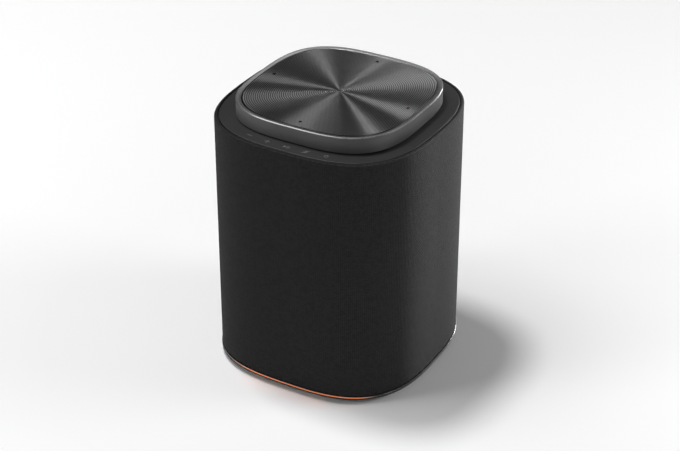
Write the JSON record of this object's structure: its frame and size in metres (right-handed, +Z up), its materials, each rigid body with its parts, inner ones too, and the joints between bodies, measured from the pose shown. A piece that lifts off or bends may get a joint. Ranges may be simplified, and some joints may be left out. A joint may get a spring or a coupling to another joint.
{
  "type": "smart speaker",
  "caption": "Squircle tabletop smart speaker: dark fabric column, touch deck, raised grooved metal cap with microphone holes, and a light line round the base.",
  "frame": {"origin": "on the table, under the middle of the foot ring", "axes": "+Z up; the front, with the touch marks and the lit edge, faces -Y; the mains inlet faces +Y; +X is the object's left as it faces the room"},
  "size_m": [0.1448, 0.1448, 0.186],
  "materials": {
    "fabric": "dark grey knit",
    "matte_black": "satin-matte black moulding",
    "frame_plastic": "matte black moulding",
    "enclosure_plastic": "fine-textured moulding",
    "foot_rubber": "matte",
    "light_guide": "clear warm light guide, lit at the front",
    "dark_aluminium": "dark anodised, fine concentric grooves, bright chamfers",
    "bare_aluminium": "satin",
    "steel": "zinc plated",
    "ferrite": "matte",
    "paper_cone": "coated paper",
    "surround_rubber": "satin",
    "spider_cloth": "resin-dipped cloth",
    "coil_copper": "enamelled copper",
    "dome_silk": "coated silk",
    "circuit_board": "green solder mask",
    "capacitor_sleeve": "shrink sleeve",
    "cable_jacket": "ribbon jacket",
    "pin_brass": "polished"
  },
  "bodies": {
    "housing": {"foot_ring": "foot_rubber", "base_cover": "matte_black", "light_ring": "light_guide", "led_board": "circuit_board", "fabric_sleeve": "fabric", "grille_frame": "frame_plastic", "top_deck": "matte_black", "touch_board": "circuit_board", "cap_rim": "dark_aluminium", "cap_disc": "dark_aluminium", "cap_carrier": "frame_plastic", "mic_board": "circuit_board", "enclosure_tub": "enclosure_plastic", "enclosure_lid": "enclosure_plastic", "woofer_basket": "steel", "woofer_top_plate": "steel", "woofer_magnet": "ferrite", "woofer_yoke": "steel", "tweeter_faceplate": "matte_black", "tweeter_magnet": "steel", "main_board": "circuit_board", "shield_can": "steel", "heat_sink": "bare_aluminium", "antenna_left": "circuit_board", "antenna_right": "circuit_board", "power_board": "circuit_board", "transformer": "ferrite", "capacitor": "capacitor_sleeve", "power_cable": "cable_jacket", "mic_ribbon": "cable_jacket", "inlet_bezel": "matte_black", "power_inlet": "matte_black", "inlet_pin_left": "pin_brass", "inlet_pin_right": "pin_brass", "base_screw_1": "steel", "woofer_screw_1": "steel", "base_screw_2": "steel", "woofer_screw_2": "steel", "base_screw_3": "steel", "woofer_screw_3": "steel", "base_screw_4": "steel", "woofer_screw_4": "steel", "mic_gasket_front": "foot_rubber", "mic_gasket_right": "foot_rubber", "mic_gasket_back": "foot_rubber", "mic_gasket_left": "foot_rubber", "passive_left_frame": "matte_black", "passive_right_frame": "matte_black"},
    "woofer_moving": {"woofer_cone": "paper_cone", "woofer_dust_cap": "paper_cone", "woofer_voice_coil": "coil_copper", "woofer_surround": "surround_rubber", "woofer_spider": "spider_cloth"},
    "tweeter_moving": {"tweeter_dome": "dome_silk"},
    "passive_left_moving": {"passive_left_plate": "bare_aluminium", "passive_left_surround": "surround_rubber"},
    "passive_right_moving": {"passive_right_plate": "bare_aluminium", "passive_right_surround": "surround_rubber"}
  },
  "joints": [
    {"name": "woofer_travel", "type": "slide", "parent": "housing", "child": "woofer_moving", "axis": [0, -1, 0], "range_m": [-0.004, 0.004], "stiffness_N_per_m": 1500, "deforming": ["woofer_surround", "woofer_spider"]},
    {"name": "tweeter_travel", "type": "slide", "parent": "housing", "child": "tweeter_moving", "axis": [0, -1, 0], "range_m": [-0.0004, 0.0004], "stiffness_N_per_m": 3000},
    {"name": "passive_left_travel", "type": "slide", "parent": "housing", "child": "passive_left_moving", "axis": [-1, 0, 0], "range_m": [-0.005, 0.005], "stiffness_N_per_m": 1000, "deforming": ["passive_left_surround"]},
    {"name": "passive_right_travel", "type": "slide", "parent": "housing", "child": "passive_right_moving", "axis": [1, 0, 0], "range_m": [-0.005, 0.005], "stiffness_N_per_m": 1000, "deforming": ["passive_right_surround"]}
  ]
}
